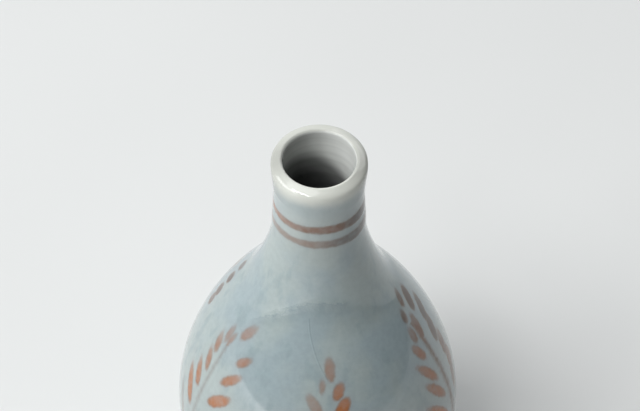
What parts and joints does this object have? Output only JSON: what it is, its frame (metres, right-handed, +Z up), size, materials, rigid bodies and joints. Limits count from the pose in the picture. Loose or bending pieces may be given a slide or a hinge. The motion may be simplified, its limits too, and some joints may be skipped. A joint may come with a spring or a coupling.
{
  "type": "ceramic bottle",
  "caption": "Free-standing wheel-thrown bottle with a full low belly, a slim neck with brushed pigment rings, a thick rolled lip and a turned foot ring.",
  "frame": {"origin": "on the table, under the middle of the foot ring", "axes": "+Z up along the bottle's axis, towards the mouth; -Y faces the picture's viewer"},
  "size_m": [0.1102, 0.1102, 0.1864],
  "materials": {
    "glaze": "glossy pale blue-grey celadon glaze",
    "lip_glaze": "glossy thin glaze, warmer where the clay shows through",
    "bare_clay": "matt, wiped bare of glaze",
    "pigment": "brushed reddish brown pigment under a thin gloss"
  },
  "bodies": {
    "root": {"foot_ring": "bare_clay", "lower_bowl": "glaze", "upper_bowl": "glaze", "neck": "glaze", "lip": "lip_glaze", "upper_neck_band": "pigment", "lower_neck_band": "pigment"}
  },
  "joints": []
}
